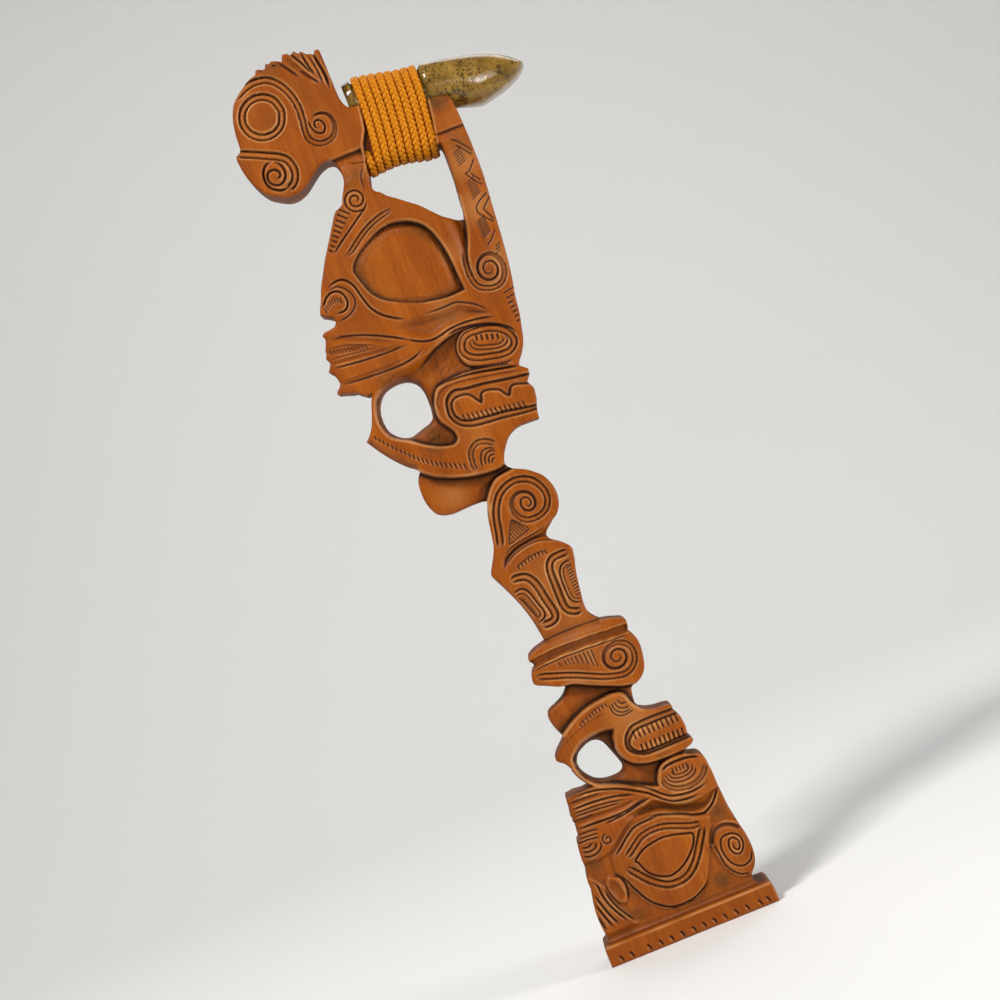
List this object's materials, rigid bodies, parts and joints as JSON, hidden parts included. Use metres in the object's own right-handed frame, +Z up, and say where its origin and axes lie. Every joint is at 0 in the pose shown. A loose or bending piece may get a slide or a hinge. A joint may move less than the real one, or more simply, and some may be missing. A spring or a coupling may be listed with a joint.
{
  "type": "ceremonial stone adze",
  "caption": "Ground stone adze blade lashed with plaited cord to the crossbar of a tall openwork carved wooden haft that stands on its own plinth",
  "frame": {"origin": "middle of the plinth's underside, on the surface that the object stands on", "axes": "+Z runs up the haft, +X towards the blade's cutting edge, and Y through the plank, with the carved front face towards -Y"},
  "size_m": [0.1772, 0.042, 0.566],
  "materials": {
    "carved_wood": "oiled and polished brown hardwood, dark in the cuts",
    "ground_stone": "ground grey-tan stone with fine dark speckles",
    "plaited_cord": "golden brown plaited fibre cord"
  },
  "bodies": {
    "root": {"haft": "carved_wood", "stone_blade": "ground_stone", "lashing_cord": "plaited_cord"}
  },
  "joints": []
}
